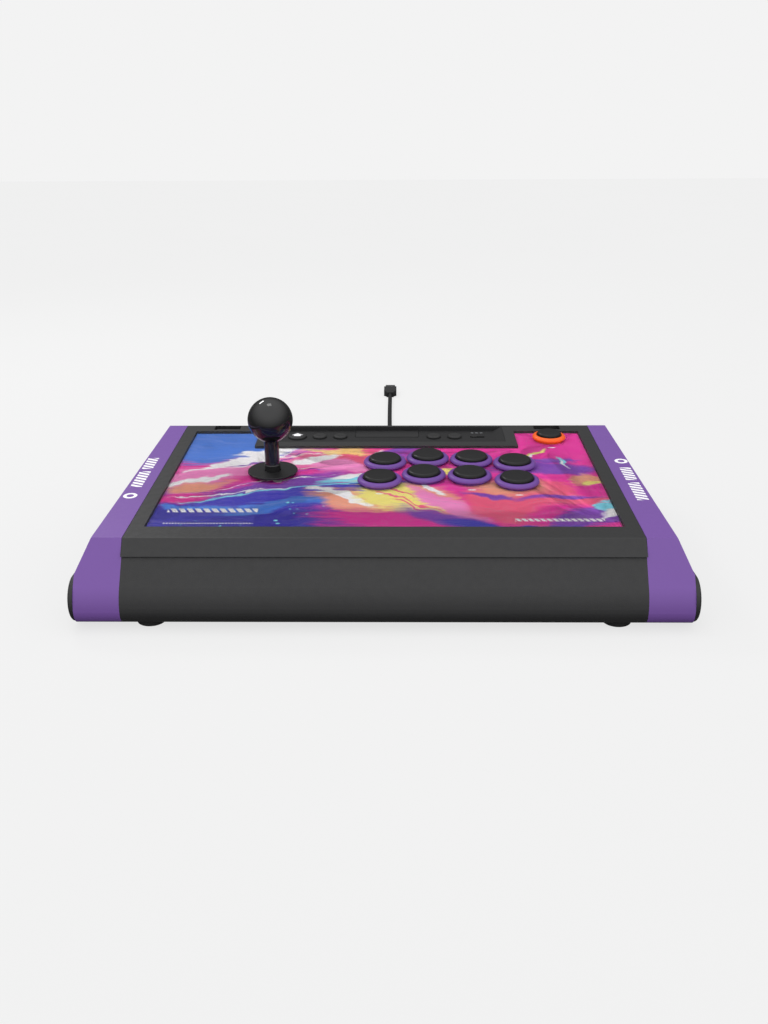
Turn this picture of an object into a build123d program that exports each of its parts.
from build123d import *
import math
import os

# ---------------------------------------------------------------- driving dimensions (millimetres)

# Case: X runs across, Y runs back, Z runs up. The origin is on the floor under the middle of the case.
half_depth = 134.5
case_bottom_z = 3.7
parting_z = 17.0
crease_y = -108.7
crease_z = 58.6
deck_tilt = 2.69
front_knee_z = 23.2
front_knee_radius = 27.6
front_toe_radius = 10.4
rear_toe_radius = 6.0
case_half = 177.7
lid_half = 178.1
cheek_inner = 178.45
cheek_top_half = 199.5
cheek_half = 209.0
cheek_facet_z = 38.0
cheek_corner_radius = 6.0
side_plate_half = 212.5
wall = 2.6

# Lid, in deck coordinates: u across, v up the slope from the front crease, h square to the deck.
lid_wall = 2.4
lid_depth = 9.8
lip_v = -9.7
lid_gap = 0.35
hinge_v = 236.9
roll_radius = 6.2
roll_end_angle = -15.0
knuckle_radius = 3.4
pin_radius = 1.5
hinge_u = 141.5
slot_width = 23.0
slot_front_v = 227.0
slot_rear_v = 239.0

# Deck layers, measured down from the deck surface.
cover_top = -0.3
art_top = -2.2
plate_top = -2.5
plate_bottom = -4.1
window_half = 167.5
window_front_v = 18.6
window_rear_v = 222.5
tray_zone_half = 111.3
tray_zone_front_v = 184.2

# Buttons: place on the deck of each 30 mm button, upper row then lower row.
button_spots = {
    "upper_button_1": (-0.5, 145.2),
    "upper_button_2": (34.2, 153.6),
    "upper_button_3": (69.6, 150.4),
    "upper_button_4": (103.9, 141.8),
    "lower_button_1": (-4.2, 106.2),
    "lower_button_2": (30.2, 116.8),
    "lower_button_3": (66.0, 114.6),
    "lower_button_4": (101.8, 104.0),
}
option_spot = (140.1, 206.0)
button_hole_radius = 15.0
option_hole_radius = 12.0
rim_height = 3.0
housing_depth = 21.0
plunger_height = 5.4

# Lever: place on the deck, pivot depth and heights along the shaft.
lever_spot = (-89.1, 124.0)
lever_hole_radius = 12.0
pivot_h = -20.0
ball_h = 43.2
ball_radius = 17.5
shaft_radius = 4.7
cover_radius = 5.75
foot_radius = 6.2
washer_radius = 19.55
washer_hole_radius = 6.6
lever_housing_half = 30.0
lever_housing_bottom = -36.0
gate_thickness = 3.0
gate_half = 8.6
actuator_radius = 5.5

# Function tray.
tray_half = 102.0
tray_front_v = 194.7
tray_rear_v = 235.0
tray_floor_h = -3.6
tray_floor_half = 94.0
tray_floor_front_v = 205.0
tray_bottom_h = -6.1
small_button_v = 217.0
small_button_spots = {
    "share_button": -58.6,
    "turbo_button": -40.6,
    "start_button": 41.1,
    "select_button": 59.4,
}
home_button_u = -78.2
touchpad_u = 0.4
touchpad_v = 225.3
touchpad_width = 55.2
touchpad_depth = 17.0
slider_u = 79.5
slider_v = 217.0

# Main board in the bottom case.
board_spot = (60.0, -40.0)
board_size = (110.0, 60.0)
board_thickness = 1.6
board_z = 11.0
board_post_places = [(board_spot[0] + x, board_spot[1] + y) for x in (-50, 50) for y in (-25, 25)]

# Cord: 3 m in all, put away in a coil behind the case.
cord_radius = 2.4
gland_z = 24.0
gland_length = 28.0
gland_neck_radius = 5.0
coil_turn_radius = 27.6
coil_centre_y = 250.0
coil_rows = 4
cord_end_y = 500.0
plug_axis_z = 3.8

# ---------------------------------------------------------------- planes, outlines and helpers

rim_h = -lid_depth - 0.3
roll_clearance = roll_radius + 0.35

os.makedirs("parts", exist_ok=True)

tilt = math.radians(deck_tilt)
deck = Plane(
    origin=(0, crease_y, crease_z),
    x_dir=(1, 0, 0),
    z_dir=(0, -math.sin(tilt), math.cos(tilt)),
)


def deck_side(u):
    """Return the plane across the deck at u, whose axes are v and h."""
    return Plane(origin=deck.from_local_coords((u, 0, 0)), x_dir=deck.y_dir, z_dir=deck.x_dir)


def deck_level(h):
    """Return the deck plane raised by h."""
    return deck.offset(h)


def deck_spot(spot, h=0):
    """Return the deck plane moved to a (u, v) place and raised by h."""
    return Plane(
        origin=deck.from_local_coords((spot[0], spot[1], h)),
        x_dir=deck.x_dir,
        z_dir=deck.z_dir,
    )


def polygon_face(points):
    """Return a flat face inside the closed outline through the points."""
    with BuildSketch() as outline:
        with BuildLine():
            Polyline(*points, close=True)
        make_face()
    return outline.sketch


def keep(part_builder, name):
    """Label a finished piece and write its STEP file."""
    part_builder.part.label = name
    export_step(part_builder.part, f"parts/{name}.step")


hinge_point = deck.from_local_coords((0, hinge_v, -roll_radius))
rear_top = deck.from_local_coords((0, hinge_v + roll_radius, 0))


def case_outline(inset):
    """Return the side outline of the case in Y and Z, moved in by inset."""
    corners = [
        ((crease_y, crease_z), 0),
        ((-half_depth, front_knee_z), front_knee_radius),
        ((-half_depth, case_bottom_z), front_toe_radius),
        ((half_depth, case_bottom_z), rear_toe_radius),
        ((half_depth, rear_top.Z), roll_radius - 0.2),
    ]
    with BuildSketch() as outline:
        with BuildLine():
            Polyline(*[place for place, _ in corners], close=True)
        make_face()
        for (y, z), radius in corners:
            if radius:
                fillet(outline.vertices().sort_by_distance((y, z, 0))[0], radius)
        if inset:
            offset(amount=-inset, mode=Mode.REPLACE)
    return outline.sketch


def rim_z(y):
    """Return the height of the case rim at y."""
    return crease_z + rim_h / math.cos(tilt) + (y - crease_y) * math.tan(tilt)


def rear_roll_face(radius):
    """Return the disc of a given radius round the hinge axis, in Y and Z."""
    with BuildSketch() as disc:
        with Locations((hinge_point.Y, hinge_point.Z)):
            Circle(radius)
    return disc.sketch


full_outline = case_outline(0)
inner_outline = case_outline(wall)

# ---------------------------------------------------------------- base: case shells

side_boss_places = [(-171, 98), (171, 98), (-171, -90), (171, -90)]
end_boss_places = [(-60, 122), (60, 122), (-60, -122), (60, -122)]
boss_places = side_boss_places + end_boss_places
post_places = [(-165, -98), (165, -98)]
post_shoulder_z = 46.0
post_top_z = 53.4
magnet_radius = 5.0
magnet_bottom_z = 49.4
magnet_top_z = 54.4
foot_places = [(-160.6, -117), (160.6, -117), (-160.6, 117), (160.6, 117)]
pad_radius = 10.0
pad_edge_radius = 1.2
pad_seat_depth = 0.8
pad_clearance = 0.1

boss_radius = 4.5
boss_height = 12.0
boss_web = 3.0
boss_bore_radius = 1.55
boss_bore_depth = 10.0
bottom_boss_radius = 5.0
board_post_radius = 3.5
pillar_width = 24.0
pillar_depth = 20.0
pillar_inset = 11.0
bracket_foot_z = 38.0
post_width = 24.0
post_depth = 14.0
post_top_wall = 2.0
magnet_clearance = 0.05

screw_hole_radius = 1.9
screw_head_hole_radius = 3.6
screw_seat_height = 5.0
screw_head_radius = 3.3
screw_head_height = 1.8
screw_shank_radius = 1.5
screw_grip = 3.0
screw_drive_radius = 1.3
screw_drive_depth = 1.0

# Cutting blocks reach well past the case.
block_width = 3 * lid_half
block_depth = 3 * half_depth
block_height = 80.0

with BuildPart() as above_rim:
    with BuildSketch(deck_level(rim_h)):
        with Locations((0, half_depth)):
            Rectangle(block_width, block_depth)
    extrude(amount=block_height)

with BuildPart() as roll_space:
    with BuildSketch(Plane.YZ.offset(-cheek_inner)):
        add(rear_roll_face(roll_clearance))
    extrude(amount=2 * cheek_inner)

with BuildPart() as case_block:
    with BuildSketch(Plane.YZ.offset(-case_half)):
        add(full_outline)
    extrude(amount=2 * case_half)

with BuildPart() as lower_case:
    add(case_block.part)
    with BuildSketch(Plane.YZ.offset(-case_half + wall)):
        add(inner_outline)
    extrude(amount=2 * (case_half - wall), mode=Mode.SUBTRACT)
    # Screw bosses, bracket pillars and magnet posts stand on the parting plane.
    with BuildSketch(Plane.XY.offset(parting_z)):
        with Locations(*boss_places):
            Circle(boss_radius)
        # A web joins each end boss to the wall.
        for x, y in end_boss_places:
            with Locations((x, (y + math.copysign(half_depth, y)) / 2)):
                Rectangle(boss_web, half_depth - abs(y))
    extrude(amount=boss_height)
    with BuildSketch(Plane.XY.offset(parting_z)):
        with Locations((-hinge_u, half_depth - pillar_inset), (hinge_u, half_depth - pillar_inset)):
            Rectangle(pillar_width, pillar_depth)
    extrude(amount=bracket_foot_z - parting_z)
    with BuildSketch(Plane.XY.offset(parting_z)):
        with Locations(*post_places):
            Rectangle(post_width, post_depth)
    extrude(amount=post_shoulder_z - parting_z)
    add(case_block.part, mode=Mode.INTERSECT)
    with BuildSketch(Plane.XY.offset(parting_z)):
        with Locations(*boss_places):
            Circle(boss_bore_radius)
    extrude(amount=boss_bore_depth, mode=Mode.SUBTRACT)
    # Hole for the cable gland.
    with BuildSketch(Plane.XZ.offset(-half_depth - 1)):
        with Locations((0, gland_z)):
            Circle(gland_neck_radius)
    extrude(amount=wall + 2, mode=Mode.SUBTRACT)
    with BuildSketch(Plane.XY):
        Rectangle(block_width, block_depth)
    extrude(amount=parting_z, mode=Mode.SUBTRACT)
    add(above_rim.part, mode=Mode.SUBTRACT)
    add(roll_space.part, mode=Mode.SUBTRACT)
    # Round tops of the magnet posts, which reach up inside the lid.
    with BuildSketch(Plane.XY.offset(post_shoulder_z - 1)):
        with Locations(*post_places):
            Circle(magnet_radius + post_top_wall)
    extrude(amount=post_top_z - post_shoulder_z + 1)
    with BuildSketch(Plane.XY.offset(magnet_bottom_z)):
        with Locations(*post_places):
            Circle(magnet_radius + magnet_clearance)
    extrude(amount=post_top_z + 1 - magnet_bottom_z, mode=Mode.SUBTRACT)
keep(lower_case, "lower_case")

with BuildPart() as bottom_case:
    add(case_block.part)
    with BuildSketch(Plane.YZ.offset(-case_half + wall)):
        add(inner_outline)
    extrude(amount=2 * (case_half - wall), mode=Mode.SUBTRACT)
    with BuildSketch(Plane.XY.offset(case_bottom_z)):
        with Locations(*boss_places):
            Circle(bottom_boss_radius)
        with Locations(*board_post_places):
            Circle(board_post_radius)
    extrude(amount=parting_z - case_bottom_z)
    add(case_block.part, mode=Mode.INTERSECT)
    with BuildSketch(Plane.XY.offset(board_z)):
        with Locations(board_spot):
            Rectangle(board_size[0], board_size[1])
    extrude(amount=block_height, mode=Mode.SUBTRACT)
    with BuildSketch(Plane.XY.offset(case_bottom_z)):
        with Locations(*boss_places):
            Circle(screw_hole_radius)
    extrude(amount=parting_z - case_bottom_z, mode=Mode.SUBTRACT)
    with BuildSketch(Plane.XY.offset(case_bottom_z)):
        with Locations(*boss_places):
            Circle(screw_head_hole_radius)
    extrude(amount=screw_seat_height, mode=Mode.SUBTRACT)
    # Shallow seats for the feet.
    with BuildSketch(Plane.XY.offset(case_bottom_z)):
        with Locations(*foot_places):
            Circle(pad_radius + pad_clearance)
    extrude(amount=pad_seat_depth, mode=Mode.SUBTRACT)
    with BuildSketch(Plane.XY.offset(parting_z)):
        Rectangle(block_width, block_depth)
    extrude(amount=block_height, mode=Mode.SUBTRACT)
keep(bottom_case, "bottom_case")

with BuildPart() as rubber_feet:
    with BuildSketch(Plane.XY):
        with Locations(*foot_places):
            Circle(pad_radius)
    extrude(amount=case_bottom_z + pad_seat_depth)
    fillet(rubber_feet.edges().filter_by(GeomType.CIRCLE).group_by(Axis.Z)[0], pad_edge_radius)
keep(rubber_feet, "rubber_feet")

with BuildPart() as case_screws:
    with BuildSketch(Plane.XY.offset(case_bottom_z + screw_seat_height - screw_head_height)):
        with Locations(*boss_places):
            Circle(screw_head_radius)
    extrude(amount=screw_head_height)
    with BuildSketch(Plane.XY.offset(case_bottom_z + screw_seat_height)):
        with Locations(*boss_places):
            Circle(screw_shank_radius)
    extrude(amount=parting_z - case_bottom_z + screw_grip)
    with BuildSketch(Plane.XY.offset(case_bottom_z + screw_seat_height - screw_head_height)):
        with Locations(*boss_places):
            RegularPolygon(screw_drive_radius, 6)
    extrude(amount=screw_drive_depth, mode=Mode.SUBTRACT)
keep(case_screws, "case_screws")

# ---------------------------------------------------------------- base: cheeks and side plates

cheek_rise = crease_z - cheek_facet_z
facet_run = cheek_half - cheek_top_half
side_plate_radius = 16.4
side_plate_z = 18.6
side_plate_edge_radius = 1.6
cheek_wall = 5.0
past = 10.0
above_deck_z = 100.0


def rear_corner_face(side):
    """Return what the rounded corner leaves over at the rear of the cheek, in X and Y."""
    start = (side * (cheek_half - cheek_corner_radius), half_depth)
    end = (side * cheek_half, half_depth - cheek_corner_radius)
    bulge = cheek_corner_radius * (1 - math.sqrt(0.5))
    with BuildSketch() as corner:
        with BuildLine():
            ThreePointArc(start, (side * (cheek_half - bulge), half_depth - bulge), end)
            Polyline(
                end,
                (end[0] + side * past, end[1]),
                (end[0] + side * past, start[1] + past),
                (start[0], start[1] + past),
                start,
            )
        make_face()
    return corner.sketch


for side, name in ((-1, "left"), (1, "right")):
    with BuildPart() as cheek:
        with BuildSketch(Plane.YZ.offset(side * case_half)):
            add(full_outline)
        extrude(amount=side * (cheek_half - case_half))
        # Hollow from the inner side.
        with BuildSketch(Plane.YZ.offset(side * case_half)):
            add(inner_outline)
        extrude(amount=side * (cheek_top_half - cheek_wall - case_half), mode=Mode.SUBTRACT)
        # The lid is a little wider than the case, so the cheek steps back above the rim.
        with BuildSketch(Plane.YZ.offset(side * case_half)):
            with BuildLine():
                Polyline(
                    (-half_depth - past, rim_z(-half_depth - past)),
                    (half_depth + past, rim_z(half_depth + past)),
                    (half_depth + past, above_deck_z),
                    (-half_depth - past, above_deck_z),
                    close=True,
                )
            make_face()
        extrude(amount=side * (cheek_inner - case_half), mode=Mode.SUBTRACT)
        add(roll_space.part, mode=Mode.SUBTRACT)
        # Sloped outer facet, parallel to the deck along its lower edge.
        lean_at_top = facet_run * (above_deck_z - cheek_facet_z) / cheek_rise
        with BuildSketch(Plane.XZ.offset(half_depth + past)):
            with BuildLine():
                Polyline(
                    (side * cheek_half, cheek_facet_z),
                    (side * (cheek_half + past), cheek_facet_z),
                    (side * (cheek_half + past), above_deck_z),
                    (side * (cheek_half - lean_at_top), above_deck_z),
                    close=True,
                )
            make_face()
        extrude(amount=-2 * (half_depth + past), mode=Mode.SUBTRACT)
        # Rounded rear outer corner, upright below the facet and leaning with it above.
        leaning = (-side * facet_run, 0, cheek_rise)
        for direction, height in (((0, 0, -1), cheek_facet_z), (leaning, 2 * cheek_rise)):
            with BuildSketch(Plane.XY.offset(cheek_facet_z)):
                add(rear_corner_face(side))
            extrude(amount=height, dir=direction, mode=Mode.SUBTRACT)
    keep(cheek, f"{name}_cheek")

    with BuildPart() as side_plate:
        with BuildSketch(Plane.YZ.offset(side * cheek_half)):
            with Locations((-cheek_corner_radius / 2, side_plate_z)):
                SlotOverall(2 * half_depth - cheek_corner_radius, 2 * side_plate_radius)
        extrude(amount=side * (side_plate_half - cheek_half))
        fillet(side_plate.faces().sort_by(Axis.X)[-1 if side > 0 else 0].edges(), side_plate_edge_radius)
    keep(side_plate, f"{name}_side_plate")

# ---------------------------------------------------------------- base: hinge brackets, pins, magnets, board

bracket_top_z = 40.5
bracket_end_y = half_depth - wall - 1
web_y = hinge_point.Y - 10.5
arm_half = 2.4
ear_offset = 8.0
ear_width = 5.4
pin_length = 22.0

with BuildPart() as hinge_brackets:
    for u in (-hinge_u, hinge_u):
        for ear in (-ear_offset, ear_offset):
            with BuildSketch(Plane.YZ.offset(u + ear - ear_width / 2)):
                with Locations((hinge_point.Y, hinge_point.Z)):
                    Circle(knuckle_radius)
                with BuildLine():
                    Polyline(
                        (hinge_point.Y, hinge_point.Z + 2.2),
                        (web_y - arm_half, hinge_point.Z - 4.0),
                        (web_y - arm_half, bracket_foot_z),
                        (web_y + arm_half, bracket_foot_z),
                        (web_y + arm_half, hinge_point.Z - 7.4),
                        (hinge_point.Y - 1.5, hinge_point.Z - 3.0),
                        close=True,
                    )
                make_face()
            extrude(amount=ear_width)
        with BuildSketch(Plane.XY.offset(bracket_foot_z)):
            with Locations((u, (web_y - arm_half + bracket_end_y) / 2)):
                Rectangle(2 * ear_offset + ear_width, bracket_end_y - web_y + arm_half)
        extrude(amount=bracket_top_z - bracket_foot_z)
        with BuildSketch(Plane.YZ.offset(u - ear_offset - ear_width)):
            with Locations((hinge_point.Y, hinge_point.Z)):
                Circle(pin_radius)
        extrude(amount=2 * ear_offset + 2 * ear_width, mode=Mode.SUBTRACT)
keep(hinge_brackets, "hinge_brackets")

with BuildPart() as hinge_pins:
    for u in (-hinge_u, hinge_u):
        with BuildSketch(Plane.YZ.offset(u - pin_length / 2)):
            with Locations((hinge_point.Y, hinge_point.Z)):
                Circle(pin_radius)
        extrude(amount=pin_length)
keep(hinge_pins, "hinge_pins")

magnet_chamfer = 0.5
with BuildPart() as catch_magnets:
    with BuildSketch(Plane.XY.offset(magnet_bottom_z)):
        with Locations(*post_places):
            Circle(magnet_radius)
    extrude(amount=magnet_top_z - magnet_bottom_z)
    chamfer(catch_magnets.edges().group_by(Axis.Z)[-1], magnet_chamfer)
keep(catch_magnets, "catch_magnets")

board_corner_radius = 3.0
board_hole_radius = 1.6
processor_side = 14.0
chip_length = 9.0
chip_width = 6.0
chip_height = 1.4
socket_length = 60.0
side_socket_length = 22.0
socket_width = 6.0
socket_height = 6.0

with BuildPart() as main_board:
    with BuildSketch(Plane.XY.offset(board_z)):
        with Locations(board_spot):
            RectangleRounded(board_size[0], board_size[1], board_corner_radius)
        with Locations(*board_post_places):
            Circle(board_hole_radius, mode=Mode.SUBTRACT)
    extrude(amount=board_thickness)
    with BuildSketch(Plane.XY.offset(board_z + board_thickness)):
        with Locations((board_spot[0] - 12, board_spot[1])):
            Rectangle(processor_side, processor_side)
        with Locations((board_spot[0] + 18, board_spot[1] + 8), (board_spot[0] + 18, board_spot[1] - 10)):
            Rectangle(chip_length, chip_width)
    extrude(amount=chip_height)
    with BuildSketch(Plane.XY.offset(board_z + board_thickness)):
        with Locations((board_spot[0], board_spot[1] + 24)):
            Rectangle(socket_length, socket_width)
        with Locations((board_spot[0] - 46, board_spot[1])):
            Rectangle(socket_width, side_socket_length)
    extrude(amount=socket_height)
keep(main_board, "main_board")

# ---------------------------------------------------------------- lid: frame, cover, art, plate


def window_outline(gap):
    """Return the deck window outline round the function tray zone, moved in by gap."""
    side = window_half - gap
    front = window_front_v + gap
    rear = window_rear_v - gap
    zone = tray_zone_half + gap
    zone_front = tray_zone_front_v - gap
    return [
        (-side, front),
        (side, front),
        (side, rear),
        (zone, rear),
        (zone, zone_front),
        (-zone, zone_front),
        (-zone, rear),
        (-side, rear),
    ]


def roll_point(radius, degrees):
    """Return a (v, h) point round the hinge axis."""
    angle = math.radians(degrees)
    return (hinge_v + radius * math.cos(angle), -roll_radius + radius * math.sin(angle))


inner_radius = roll_radius - lid_wall
lip_inner_v = lip_v + lid_wall * 1.35
shell_front_v = -lid_wall / 2 + 1.4

with BuildPart() as lid_frame:
    with BuildSketch(deck_side(-lid_half)) as shell_sketch:
        with BuildLine():
            Polyline((lip_inner_v, -lid_depth), (lip_v, -lid_depth), (0, 0), (hinge_v, 0))
            ThreePointArc((hinge_v, 0), roll_point(roll_radius, 40), roll_point(roll_radius, roll_end_angle))
            Line(roll_point(roll_radius, roll_end_angle), roll_point(inner_radius, roll_end_angle))
            ThreePointArc(
                roll_point(inner_radius, roll_end_angle),
                roll_point(inner_radius, 40),
                (hinge_v, -lid_wall),
            )
            Polyline((hinge_v, -lid_wall), (shell_front_v, -lid_wall), (lip_inner_v, -lid_depth))
        make_face()
        fillet(shell_sketch.vertices().sort_by_distance((0, 0, 0))[0], 1.5)
    extrude(amount=2 * lid_half)
    for u in (-lid_half, lid_half - lid_wall):
        with BuildSketch(deck_side(u)):
            with BuildLine():
                Polyline((hinge_v, -lid_wall / 2), (2, -lid_wall / 2), (lip_inner_v - 0.5, -lid_depth))
                Line((lip_inner_v - 0.5, -lid_depth), (hinge_v + 3, -lid_depth))
                Line((hinge_v + 3, -lid_depth), roll_point(roll_radius - 0.3, roll_end_angle))
                ThreePointArc(
                    roll_point(roll_radius - 0.3, roll_end_angle),
                    roll_point(roll_radius - 0.3, 40),
                    roll_point(roll_radius - 0.3, 90),
                )
                Line(roll_point(roll_radius - 0.3, 90), (hinge_v, -lid_wall / 2))
            make_face()
        extrude(amount=lid_wall)
    with BuildSketch(deck_level(0.5)):
        with BuildLine():
            Polyline(*window_outline(0), close=True)
        make_face()
    extrude(amount=-lid_wall - 1, mode=Mode.SUBTRACT)
    with BuildSketch(deck_level(0.5)):
        with Locations((0, (tray_front_v + tray_rear_v) / 2)):
            Rectangle(2 * tray_half, tray_rear_v - tray_front_v)
    extrude(amount=-lid_wall - 1, mode=Mode.SUBTRACT)
    with BuildSketch(deck_level(0.5)):
        with Locations((-hinge_u, (slot_front_v + slot_rear_v) / 2), (hinge_u, (slot_front_v + slot_rear_v) / 2)):
            Rectangle(slot_width, slot_rear_v - slot_front_v)
    extrude(amount=-4.4, mode=Mode.SUBTRACT)
keep(lid_frame, "lid_frame")

button_places = list(button_spots.values())


def cut_deck_holes(extra):
    """Cut the button and lever holes, wider by extra, into the sketch being made."""
    with Locations(*button_places):
        Circle(button_hole_radius + extra, mode=Mode.SUBTRACT)
    with Locations(option_spot):
        Circle(option_hole_radius + extra, mode=Mode.SUBTRACT)
    with Locations(lever_spot):
        Circle(lever_hole_radius + extra, mode=Mode.SUBTRACT)


with BuildPart() as clear_cover:
    with BuildSketch(deck_level(cover_top)):
        with BuildLine():
            Polyline(*window_outline(0.2), close=True)
        make_face()
        cut_deck_holes(0)
    extrude(amount=art_top - cover_top)
keep(clear_cover, "clear_cover")

with BuildPart() as art_sheet:
    with BuildSketch(deck_level(art_top)):
        with BuildLine():
            Polyline(*window_outline(0.3), close=True)
        make_face()
        cut_deck_holes(0.1)
    extrude(amount=plate_top - art_top)
keep(art_sheet, "art_sheet")

plate_half = 172.0
plate_front_v = 6.0
plate_rear_v = 226.0
screw_places = [(-145, 12), (0, 12), (145, 12), (-168, 110), (168, 110), (-120, 205), (118, 190)]

with BuildPart() as mounting_plate:
    with BuildSketch(deck_level(plate_top)):
        with BuildLine():
            Polyline(
                (-plate_half, plate_front_v),
                (plate_half, plate_front_v),
                (plate_half, plate_rear_v),
                (tray_zone_half - 3, plate_rear_v),
                (tray_zone_half - 3, tray_zone_front_v + 3),
                (-tray_zone_half + 3, tray_zone_front_v + 3),
                (-tray_zone_half + 3, plate_rear_v),
                (-plate_half, plate_rear_v),
                close=True,
            )
        make_face()
        cut_deck_holes(0.05)
    extrude(amount=plate_bottom - plate_top)
keep(mounting_plate, "mounting_plate")

plate_screw_radius = 2.6
plate_screw_height = 1.7
plate_screw_drive_radius = 1.2

with BuildPart() as plate_screws:
    with BuildSketch(deck_level(plate_bottom)):
        with Locations(*screw_places):
            Circle(plate_screw_radius)
    extrude(amount=-plate_screw_height)
    with BuildSketch(deck_level(plate_bottom - plate_screw_height)):
        with Locations(*screw_places):
            RegularPolygon(plate_screw_drive_radius, 6)
    extrude(amount=screw_drive_depth, mode=Mode.SUBTRACT)
keep(plate_screws, "plate_screws")

leaf_width = 10.0
leaf_front_v = 219.5
leaf_thickness = 1.8
leaf_neck_half = 2.4
leaf_bend_v = hinge_v - 7
pin_clearance = 0.05

with BuildPart() as hinge_leaves:
    for u in (-hinge_u, hinge_u):
        with BuildSketch(deck_side(u - leaf_width / 2)):
            with Locations((hinge_v, -roll_radius)):
                Circle(knuckle_radius)
            with BuildLine():
                Polyline(
                    (hinge_v, -roll_radius + leaf_neck_half),
                    (leaf_bend_v, plate_bottom),
                    (leaf_front_v, plate_bottom),
                    (leaf_front_v, plate_bottom - leaf_thickness),
                    (leaf_bend_v, plate_bottom - leaf_thickness),
                    (hinge_v, -roll_radius - leaf_neck_half),
                    close=True,
                )
            make_face()
        extrude(amount=leaf_width)
        with BuildSketch(deck_level(plate_bottom)):
            with Locations((u, (leaf_front_v + plate_rear_v) / 2)):
                Rectangle(2.2 * leaf_width, plate_rear_v - leaf_front_v)
        extrude(amount=-leaf_thickness)
        with BuildSketch(deck_side(u - leaf_width)):
            with Locations((hinge_v, -roll_radius)):
                Circle(pin_radius + pin_clearance)
        extrude(amount=2 * leaf_width, mode=Mode.SUBTRACT)
keep(hinge_leaves, "hinge_leaves")

# ---------------------------------------------------------------- lid: push buttons


def rim_profile(outer, bore):
    """Return the half section of a button rim and its flange, as (radius, height) points."""
    return [
        (bore, cover_top),
        (outer - 0.4, cover_top),
        (outer, cover_top + 0.4),
        (outer, cover_top + 1.0),
    ], (outer - 1.0, cover_top + 2.35), (outer - 2.9, cover_top + rim_height), [
        (bore + 0.5, cover_top + rim_height),
        (bore, cover_top + rim_height - 0.5),
        (bore, cover_top),
    ]


housing_floor = 1.6
tab_top = plate_bottom - 0.1
tab_length = 5.0
terminal_u = 4.0
terminal_drop = 6.0
skirt_bottom = -8.0
stem_bottom = -13.5
stem_radius = 2.5
plunger_wall = 1.6
plunger_ceiling = 2.4
plunger_edge_radius = 2.0
switch_height = 2.0
switch_key_side = 2.4
switch_key_height = 0.8
button_kinds = {
    "main": {"rim": 17.3, "hole": button_hole_radius, "plunger": 12.8},
    "option": {"rim": 14.15, "hole": option_hole_radius, "plunger": 10.3},
}
housing_templates = {}
plunger_templates = {}
for kind, sizes in button_kinds.items():
    bore = sizes["plunger"] + 0.3
    barrel = sizes["hole"] - 0.2
    foot, crown, shoulder, inside = rim_profile(sizes["rim"], bore)
    with BuildPart() as housing:
        with BuildSketch(Plane.XZ):
            with BuildLine():
                Polyline(*foot)
                ThreePointArc(foot[-1], crown, shoulder)
                Polyline(shoulder, *inside)
            make_face()
        revolve(axis=Axis.Z)
        with BuildSketch(Plane.XY.offset(cover_top)):
            Circle(barrel)
            Circle(bore, mode=Mode.SUBTRACT)
        extrude(amount=-housing_depth)
        with BuildSketch(Plane.XY.offset(cover_top - housing_depth)):
            Circle(barrel)
            with Locations((-terminal_u, 0), (terminal_u, 0)):
                Rectangle(1.6, 4, mode=Mode.SUBTRACT)
        extrude(amount=housing_floor)
        # Snap tabs under the steel plate.
        with BuildSketch(Plane.XY.offset(tab_top)):
            with Locations((-barrel, 0), (barrel, 0)):
                Rectangle(2.4, 6)
        extrude(amount=-tab_length)
    housing_templates[kind] = housing.part
    with BuildPart() as plunger:
        with BuildSketch(Plane.XZ) as plunger_outline:
            with BuildLine():
                Polyline(
                    (0, plunger_height),
                    (0, stem_bottom),
                    (stem_radius, stem_bottom),
                    (stem_radius, plunger_ceiling),
                    (sizes["plunger"] - plunger_wall, plunger_ceiling),
                    (sizes["plunger"] - plunger_wall, skirt_bottom),
                    (sizes["plunger"], skirt_bottom),
                    (sizes["plunger"], plunger_height - 0.3),
                    close=True,
                )
            make_face()
            edge = plunger_outline.vertices().sort_by_distance((sizes["plunger"], plunger_height, 0))[0]
            fillet(edge, plunger_edge_radius)
        revolve(axis=Axis.Z)
    plunger_templates[kind] = plunger.part

with BuildPart() as switch_template:
    with BuildSketch(Plane.XY.offset(cover_top - housing_depth + housing_floor)):
        RectangleRounded(12.8, 6.0, 0.5)
    extrude(amount=switch_height)
    with BuildSketch(Plane.XY.offset(cover_top - housing_depth + housing_floor + switch_height)):
        Rectangle(switch_key_side, switch_key_side)
    extrude(amount=switch_key_height)
    with BuildSketch(Plane.XY.offset(cover_top - housing_depth - terminal_drop)):
        with Locations((-terminal_u, 0), (terminal_u, 0)):
            Rectangle(0.8, 3)
    extrude(amount=terminal_drop + housing_floor)

with BuildPart(deck) as button_housings:
    with Locations(*button_places):
        add(housing_templates["main"])
keep(button_housings, "button_housings")

with BuildPart(deck) as option_button_housing:
    with Locations(option_spot):
        add(housing_templates["option"])
keep(option_button_housing, "option_button_housing")

with BuildPart(deck) as button_microswitches:
    with Locations(*button_places, option_spot):
        add(switch_template.part)
keep(button_microswitches, "button_microswitches")

for name, place in button_spots.items():
    with BuildPart(deck) as plunger:
        with Locations(place):
            add(plunger_templates["main"])
    keep(plunger, name)

with BuildPart(deck) as option_button:
    with Locations(option_spot):
        add(plunger_templates["option"])
keep(option_button, "option_button")

# ---------------------------------------------------------------- lid: lever

bracket_long = 95.0
bracket_wide = 56.0
bracket_thickness = 1.6
bracket_bottom = plate_bottom - bracket_thickness
nut_places = [(lever_spot[0] + x, lever_spot[1] + y) for x in (-42, 42) for y in (-21, 21)]
nut_radius = 3.6
nut_height = 3.2
stud_radius = 2.0
stud_length = 5.0
funnel_radius = 13.0

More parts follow.
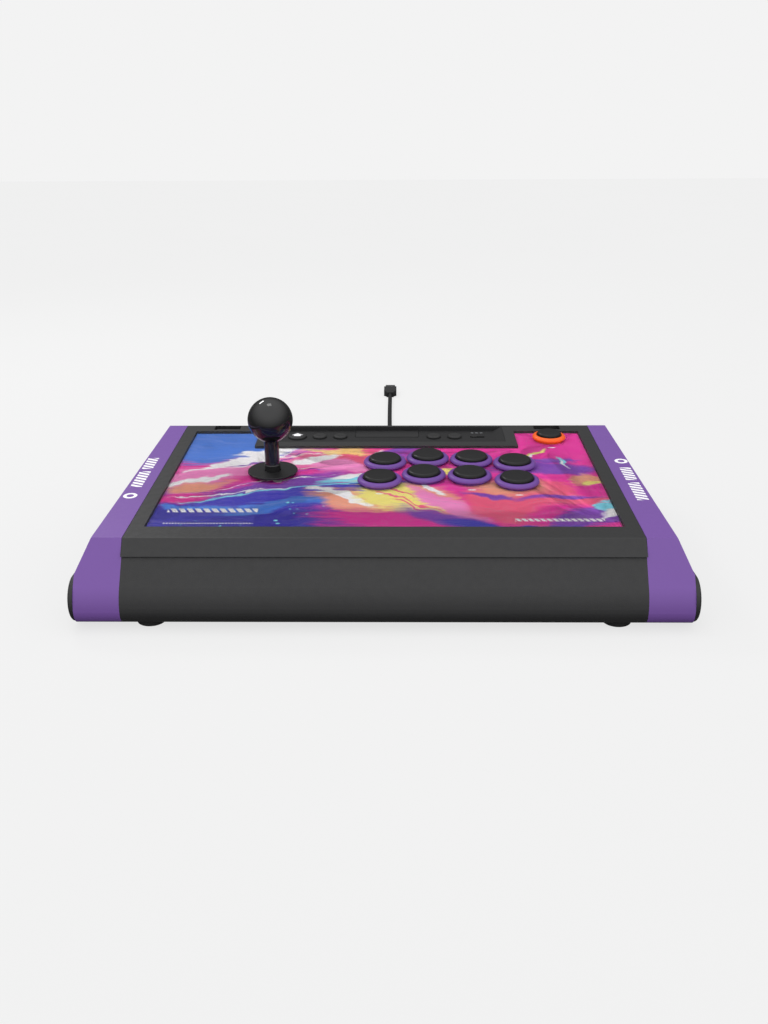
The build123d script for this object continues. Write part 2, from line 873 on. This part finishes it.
with BuildPart() as lever_bracket:
    with BuildSketch(deck_spot(lever_spot, plate_bottom)):
        RectangleRounded(bracket_long, bracket_wide, 4)
        Circle(funnel_radius, mode=Mode.SUBTRACT)
    extrude(amount=-bracket_thickness)
keep(lever_bracket, "lever_bracket")

with BuildPart() as lever_nuts:
    with BuildSketch(deck_level(bracket_bottom)):
        with Locations(*nut_places):
            RegularPolygon(nut_radius, 6)
    extrude(amount=-nut_height)
    with BuildSketch(deck_level(bracket_bottom)):
        with Locations(*nut_places):
            Circle(stud_radius)
    extrude(amount=-stud_length)
    chamfer(lever_nuts.edges().filter_by(GeomType.CIRCLE), 0.3)
keep(lever_nuts, "lever_nuts")

seat_radius = 8.8
pivot_radius = 8.5
pivot_half = 6.0
switch_pocket_half = 25.0
switch_pocket_top = -27.0
tip_reach = 7.9
seat_top = pivot_h + 3.6
shaft_passage_radius = 8.2
relief_side = 11.0
relief_depth = 16.0
relief_pitch = 42.0
housing_corner_radius = 3.0

with BuildPart() as housing_block:
    with BuildSketch(Plane.XY.offset(bracket_bottom)):
        RectangleRounded(2 * lever_housing_half, 2 * lever_housing_half, housing_corner_radius)
    extrude(amount=lever_housing_bottom - bracket_bottom)
    with BuildSketch(Plane.XY.offset(lever_housing_bottom)):
        Rectangle(2 * switch_pocket_half, 2 * switch_pocket_half)
    extrude(amount=switch_pocket_top - lever_housing_bottom, mode=Mode.SUBTRACT)
    # Funnel above the pivot, spherical seat round it.
    with BuildSketch(Plane.XZ):
        with BuildLine():
            Polyline(
                (0, bracket_bottom),
                (funnel_radius, bracket_bottom),
                (seat_radius - 0.8, seat_top),
                (0, seat_top),
                close=True,
            )
        make_face()
    revolve(axis=Axis.Z, mode=Mode.SUBTRACT)
    with Locations((0, 0, pivot_h)):
        Sphere(seat_radius, mode=Mode.SUBTRACT)
    with BuildSketch(Plane.XY.offset(switch_pocket_top)):
        Circle(shaft_passage_radius)
    extrude(amount=4, mode=Mode.SUBTRACT)
    # Relief pockets lighten the block.
    with BuildSketch(Plane.XY.offset(bracket_bottom)):
        with GridLocations(relief_pitch, relief_pitch, 2, 2):
            Rectangle(relief_side, relief_side)
    extrude(amount=-relief_depth, mode=Mode.SUBTRACT)

with BuildPart(deck) as lever_housing:
    with Locations(lever_spot):
        add(housing_block.part)
keep(lever_housing, "lever_housing")

with BuildPart() as restrictor_gate:
    with BuildSketch(deck_spot(lever_spot, lever_housing_bottom)):
        RectangleRounded(2 * lever_housing_half, 2 * lever_housing_half, housing_corner_radius)
        RectangleRounded(2 * gate_half, 2 * gate_half, 1, mode=Mode.SUBTRACT)
    extrude(amount=-gate_thickness)
keep(restrictor_gate, "restrictor_gate")

with BuildPart() as lever_switches:
    with BuildSketch(deck_spot(lever_spot, lever_housing_bottom + 0.1)):
        with PolarLocations(14.5, 4):
            Rectangle(9, 16)
    extrude(amount=5.8)
    with BuildSketch(deck_spot(lever_spot, lever_housing_bottom + 0.8)):
        with PolarLocations(tip_reach + 1.1, 4):
            Rectangle(2.2, 2.4)
    extrude(amount=1.4)
keep(lever_switches, "lever_switches")

with BuildPart() as ball_template:
    with Locations((0, 0, pivot_h)):
        Sphere(pivot_radius)
    with BuildSketch(Plane.XY.offset(pivot_h - pivot_half)):
        Rectangle(30, 30)
    extrude(amount=2 * pivot_half, mode=Mode.INTERSECT)
    # Slot across the ball: the shaft swings along u inside it.
    with BuildSketch(Plane.XY.offset(pivot_h - pivot_half)):
        SlotOverall(2 * shaft_radius + 2.6, 2 * shaft_radius + 0.16)
    extrude(amount=2 * pivot_half, mode=Mode.SUBTRACT)

with BuildPart(deck) as pivot_ball:
    with Locations(lever_spot):
        add(ball_template.part)
keep(pivot_ball, "pivot_ball")

clip_radius = 7.0
cover_bottom = -9.0
shaft_bottom = -46.0
actuator_top = -33.0
actuator_bottom = -41.0
cover_joint_h = 26.4
foot_top = 7.0
foot_bottom = -3.0

with BuildPart() as lever_shaft:
    with BuildSketch(deck_spot(lever_spot, shaft_bottom)):
        Circle(shaft_radius)
    extrude(amount=ball_h + 4 - shaft_bottom)
    chamfer(lever_shaft.edges().filter_by(GeomType.CIRCLE), 0.5)
    # Groove for the e-clip.
    with BuildSketch(deck_spot(lever_spot, actuator_bottom - 1.3)):
        Circle(shaft_radius + 1)
        Circle(shaft_radius - 1, mode=Mode.SUBTRACT)
    extrude(amount=1.1, mode=Mode.SUBTRACT)
keep(lever_shaft, "lever_shaft")

with BuildPart() as e_clip:
    with BuildSketch(deck_spot(lever_spot, actuator_bottom - 1.2)):
        Circle(clip_radius)
        Circle(shaft_radius - 0.9, mode=Mode.SUBTRACT)
        with Locations((0, -5)):
            Rectangle(4.6, 9, mode=Mode.SUBTRACT)
    extrude(amount=0.9)
keep(e_clip, "e_clip")

with BuildPart() as actuator:
    with BuildSketch(deck_spot(lever_spot, actuator_bottom)):
        Circle(actuator_radius)
        Circle(shaft_radius + 0.03, mode=Mode.SUBTRACT)
    extrude(amount=actuator_top - actuator_bottom)
keep(actuator, "actuator")

with BuildPart() as cover_template:
    with BuildSketch(Plane.XZ):
        with BuildLine():
            Polyline(
                (shaft_radius + 0.05, cover_bottom),
                (cover_radius, cover_bottom),
                (cover_radius, foot_bottom),
                (foot_radius, foot_bottom + 0.5),
                (foot_radius, foot_top - 0.5),
                (cover_radius, foot_top),
                (cover_radius, cover_joint_h),
                (shaft_radius + 0.05, cover_joint_h),
                close=True,
            )
        make_face()
    revolve(axis=Axis.Z)

with BuildPart(deck) as shaft_cover:
    with Locations(lever_spot):
        add(cover_template.part)
keep(shaft_cover, "shaft_cover")

with BuildPart() as top_template:
    with Locations((0, 0, ball_h)):
        Sphere(ball_radius)
    with BuildSketch(Plane.XY.offset(cover_joint_h)):
        Rectangle(50, 50)
    extrude(amount=50, mode=Mode.INTERSECT)
    with BuildSketch(Plane.XY.offset(cover_joint_h)):
        Circle(shaft_radius + 0.05)
    extrude(amount=ball_h + 5 - cover_joint_h, mode=Mode.SUBTRACT)

with BuildPart(deck) as ball_top:
    with Locations(lever_spot):
        add(top_template.part)
keep(ball_top, "ball_top")

spring_wire = 0.5
spring_radius = 5.9
spring_top = pivot_h - pivot_half - 1.6
spring_bottom = actuator_top + 0.7
spring_turns = 3
with BuildPart() as spring_template:
    with BuildLine():
        helix = Helix(
            pitch=(spring_top - spring_bottom) / spring_turns,
            height=spring_top - spring_bottom,
            radius=spring_radius,
            center=(0, 0, spring_bottom),
        )
    with BuildSketch(Plane(origin=helix @ 0, z_dir=helix % 0)):
        Circle(spring_wire)
    sweep()

with BuildPart(deck) as lever_spring:
    with Locations(lever_spot):
        add(spring_template.part)
keep(lever_spring, "lever_spring")

slip_washer_radius = 15.5
slip_slot_length = 20.2
slip_washer_thickness = 0.3
dust_washer_h = 0.5
dust_washer_thickness = 1.4
dust_washer_edge_radius = 0.5

with BuildPart() as slip_washer:
    with BuildSketch(deck_spot(lever_spot, 0)):
        Circle(slip_washer_radius)
        SlotOverall(slip_slot_length, 2 * washer_hole_radius, mode=Mode.SUBTRACT)
    extrude(amount=slip_washer_thickness)
keep(slip_washer, "slip_washer")

with BuildPart() as dust_washer:
    with BuildSketch(deck_spot(lever_spot, dust_washer_h)):
        Circle(washer_radius)
        Circle(washer_hole_radius, mode=Mode.SUBTRACT)
    extrude(amount=dust_washer_thickness)
    fillet(dust_washer.edges().filter_by(GeomType.CIRCLE).sort_by(SortBy.LENGTH)[-1], dust_washer_edge_radius)
keep(dust_washer, "dust_washer")

# ---------------------------------------------------------------- lid: function tray

tray_middle_v = (tray_front_v + tray_rear_v) / 2
tray_fit = 0.3
home_radius = 7.95
key_radius = 6.0
key_clearance = 0.25
light_pitch = 4.0
light_v = slider_v + 11
light_size = (2.4, 1.4)

with BuildPart() as function_tray:
    with BuildSketch(deck_level(tray_bottom_h)):
        with Locations((0, tray_middle_v)):
            Rectangle(2 * tray_half - tray_fit, tray_rear_v - tray_front_v - tray_fit)
    extrude(amount=-0.1 - tray_bottom_h)
    with BuildSketch(deck_level(tray_bottom_h)):
        with Locations((0, tray_middle_v - 2)):
            Rectangle(2 * tray_half + 9, tray_rear_v - tray_front_v + 4)
    extrude(amount=-lid_wall - 0.1 - tray_bottom_h)
    # Sunk floor with sloped sides and front and a steep rear wall.
    with BuildSketch(deck_level(-0.1)):
        with BuildLine():
            Polyline(
                (-tray_half + 1, tray_front_v + 1),
                (tray_half - 1, tray_front_v + 1),
                (tray_half - 1, tray_rear_v - 1),
                (-tray_half + 1, tray_rear_v - 1),
                close=True,
            )
        make_face()
    with BuildSketch(deck_level(tray_floor_h)):
        with BuildLine():
            Polyline(
                (-tray_floor_half, tray_floor_front_v),
                (tray_floor_half, tray_floor_front_v),
                (tray_floor_half, tray_rear_v - 1.4),
                (-tray_floor_half, tray_rear_v - 1.4),
                close=True,
            )
        make_face()
    loft(mode=Mode.SUBTRACT)
    # Openings for the controls.
    with BuildSketch(deck_level(0)):
        with Locations((home_button_u, small_button_v)):
            Circle(home_radius + key_clearance)
        with Locations(*[(u, small_button_v) for u in small_button_spots.values()]):
            Circle(key_radius + key_clearance)
        with Locations((touchpad_u, touchpad_v)):
            RectangleRounded(touchpad_width + 0.7, touchpad_depth + 0.7, 1.2)
        with Locations((slider_u, slider_v)):
            SlotOverall(13, 3.4)
        with Locations(*[(slider_u + step * light_pitch, light_v) for step in (-1, 0, 1)]):
            RectangleRounded(light_size[0] + 0.2, light_size[1] + 0.2, 0.4)
    extrude(amount=tray_bottom_h - 1, mode=Mode.SUBTRACT)
keep(function_tray, "function_tray")

button_top_h = -1.5
flange_top = tray_bottom_h - 0.2
flange_bottom = flange_top - 0.8
board_top = -9.6


def round_button(radius):
    """Return the (radius, height) half section of a small round button with its flange and stem."""
    return [
        (0, button_top_h - 0.2),
        (radius - 1.6, button_top_h),
        (radius - 0.5, button_top_h - 0.3),
        (radius, button_top_h - 1.0),
        (radius, flange_top),
        (radius + 1.0, flange_top),
        (radius + 1.0, flange_bottom),
        (1.6, flange_bottom),
        (1.6, flange_bottom - 0.5),
        (0, flange_bottom - 0.5),
    ]


def small_button(name, radius, u):
    """Make one round control button of the tray and keep it under its name."""
    with BuildPart() as button_form:
        with BuildSketch(Plane.XZ):
            with BuildLine():
                Polyline(*round_button(radius), close=True)
            make_face()
        revolve(axis=Axis.Z)
    with BuildPart(deck) as button:
        with Locations((u, small_button_v)):
            add(button_form.part)
    keep(button, name)


small_button("home_button", home_radius, home_button_u)
for name, u in small_button_spots.items():
    small_button(name, key_radius, u)

with BuildPart() as touchpad:
    with BuildSketch(deck_spot((touchpad_u, touchpad_v), flange_top)):
        RectangleRounded(touchpad_width, touchpad_depth, 1)
    extrude(amount=tray_floor_h + 0.25 - flange_top)
    with BuildSketch(deck_spot((touchpad_u, touchpad_v), flange_bottom)):
        RectangleRounded(touchpad_width + 3, touchpad_depth + 1.2, 1)
    extrude(amount=flange_top - flange_bottom)
    with BuildSketch(deck_spot((touchpad_u, touchpad_v - 5), flange_bottom)):
        Circle(1.6)
    extrude(amount=-0.5)
keep(touchpad, "touchpad")

with BuildPart() as mode_slider:
    with BuildSketch(deck_spot((slider_u - 3, slider_v), board_top + 1.2)):
        Rectangle(4.4, 2.6)
    extrude(amount=tray_floor_h + 0.9 - board_top - 1.2)
    with BuildSketch(deck_spot((slider_u - 3, slider_v), flange_bottom)):
        Rectangle(8, 6)
    extrude(amount=flange_top - flange_bottom)
keep(mode_slider, "mode_slider")

with BuildPart() as indicator_lights:
    with BuildSketch(deck_spot((slider_u, light_v), board_top)):
        with Locations((-light_pitch, 0), (0, 0), (light_pitch, 0)):
            RectangleRounded(*light_size, 0.3)
    extrude(amount=tray_floor_h + 0.05 - board_top)
keep(indicator_lights, "indicator_lights")

tact_side = 6.0
tact_height = 1.0
standoff_radius = 2.5

with BuildPart() as function_board:
    with BuildSketch(deck_level(board_top)):
        with Locations((0, tray_middle_v - 1)):
            Rectangle(2 * tray_half + 2, tray_rear_v - tray_front_v - 6)
    extrude(amount=-board_thickness)
    with BuildSketch(deck_level(board_top)):
        with Locations((home_button_u, small_button_v), (touchpad_u, touchpad_v - 5)):
            Rectangle(tact_side, tact_side)
        with Locations(*[(u, small_button_v) for u in small_button_spots.values()]):
            Rectangle(tact_side, tact_side)
    extrude(amount=tact_height)
    with BuildSketch(deck_level(board_top)):
        with Locations((-tray_half + 2, tray_front_v + 6), (tray_half - 2, tray_front_v + 6)):
            Circle(standoff_radius)
    extrude(amount=tray_bottom_h - board_top)
keep(function_board, "function_board")

# ---------------------------------------------------------------- cord

gland_end_y = half_depth + gland_length
with BuildPart() as cable_gland:
    with BuildSketch(Plane.XZ):
        with BuildLine():
            Polyline(
                (0, half_depth - wall - 3),
                (gland_neck_radius + 2, half_depth - wall - 3),
                (gland_neck_radius + 2, half_depth - wall),
                (gland_neck_radius, half_depth - wall),
                (gland_neck_radius, half_depth),
                (gland_neck_radius + 1.4, half_depth),
                (gland_neck_radius + 1.4, half_depth + 2),
                (gland_neck_radius - 0.6, half_depth + 4),
                (cord_radius + 0.8, gland_end_y),
                (0, gland_end_y),
                close=True,
            )
        make_face()
    revolve(axis=Axis.Z)
gland_lying = Pos(0, 0, gland_z) * Rot(-90, 0, 0) * cable_gland.part
with BuildPart() as cable_gland:
    add(gland_lying)
keep(cable_gland, "cable_gland")

coil_outer = coil_turn_radius + cord_radius * coil_rows
coil_inner = coil_turn_radius - cord_radius * coil_rows
coil_height = 2 * cord_radius * coil_rows
coil_centre = (-coil_turn_radius, coil_centre_y)
coil_entry_y = coil_centre_y - math.sqrt(coil_outer**2 - coil_turn_radius**2) + 1.0
coil_exit_y = coil_centre_y + math.sqrt(coil_outer**2 - coil_turn_radius**2) - 1.0

with BuildPart() as cord_coil:
    with BuildSketch(Plane.XY):
        with Locations(coil_centre):
            Circle(coil_outer)
            Circle(coil_inner, mode=Mode.SUBTRACT)
    extrude(amount=coil_height)
    fillet(cord_coil.edges().filter_by(GeomType.CIRCLE), cord_radius * 0.9)
keep(cord_coil, "cord_coil")

cord_route = [
    (0, gland_end_y, gland_z),
    (0, gland_end_y + 15, gland_z),
    (0, gland_end_y + 33, gland_z - 9),
    (0, gland_end_y + 49, cord_radius + 2),
    (0, coil_entry_y, cord_radius),
]


def route_radii(points):
    """Return the bend radius at each inner point of a route."""
    radii = []
    for before, here, after in zip(points, points[1:], points[2:]):
        arriving = Vector(*here) - Vector(*before)
        leaving = Vector(*after) - Vector(*here)
        turn = math.radians(arriving.get_angle(leaving))
        shorter = min(arriving.length, leaving.length)
        radii.append(0.45 * shorter / math.tan(turn / 2))
    return radii


with BuildPart() as cord_to_coil:
    with BuildLine():
        path = FilletPolyline(*cord_route, radius=route_radii(cord_route))
    with BuildSketch(Plane(origin=path @ 0, z_dir=path % 0)):
        Circle(cord_radius)
    sweep()
keep(cord_to_coil, "cord_to_coil")

straight_start = Vector(0, coil_exit_y, cord_radius)
straight_end = Vector(0, cord_end_y, plug_axis_z)
with BuildPart() as cord_to_plug:
    with BuildSketch(Plane(origin=straight_start, z_dir=straight_end - straight_start)):
        Circle(cord_radius)
    extrude(amount=(straight_end - straight_start).length)
keep(cord_to_plug, "cord_to_plug")

plug_body_length = 30.0
plug_neck_length = 9.0
plug_neck_size = (9.0, 6.4)
plug_size = (15.6, 7.6)
plug_corner_radius = 2.8
plug_shell_length = 13.0
shell_size = (12.0, 4.5)
shell_sheet = 0.4
tongue_thickness = 1.9

with BuildPart() as plug_body:
    with BuildSketch(Plane.XZ.offset(-cord_end_y)):
        with Locations((0, plug_axis_z)):
            RectangleRounded(*plug_neck_size, plug_corner_radius)
    with BuildSketch(Plane.XZ.offset(-cord_end_y - plug_neck_length)):
        with Locations((0, plug_axis_z)):
            RectangleRounded(*plug_size, plug_corner_radius)
    loft()
    with BuildSketch(Plane.XZ.offset(-cord_end_y - plug_neck_length)):
        with Locations((0, plug_axis_z)):
            RectangleRounded(*plug_size, plug_corner_radius)
    extrude(amount=-(plug_body_length - plug_neck_length))
    fillet(plug_body.faces().sort_by(Axis.Y)[-1].edges(), 0.8)
keep(plug_body, "plug_body")

with BuildPart() as plug_shell:
    with BuildSketch(Plane.XZ.offset(-cord_end_y - plug_body_length)):
        with Locations((0, plug_axis_z)):
            Rectangle(*shell_size)
            Rectangle(shell_size[0] - 2 * shell_sheet, shell_size[1] - 2 * shell_sheet, mode=Mode.SUBTRACT)
    extrude(amount=-plug_shell_length)
    with BuildSketch(Plane.XZ.offset(-cord_end_y - plug_body_length)):
        with Locations((0, plug_axis_z + 0.9)):
            Rectangle(shell_size[0] - 2 * shell_sheet, tongue_thickness)
    extrude(amount=-plug_shell_length + 1)
keep(plug_shell, "plug_shell")
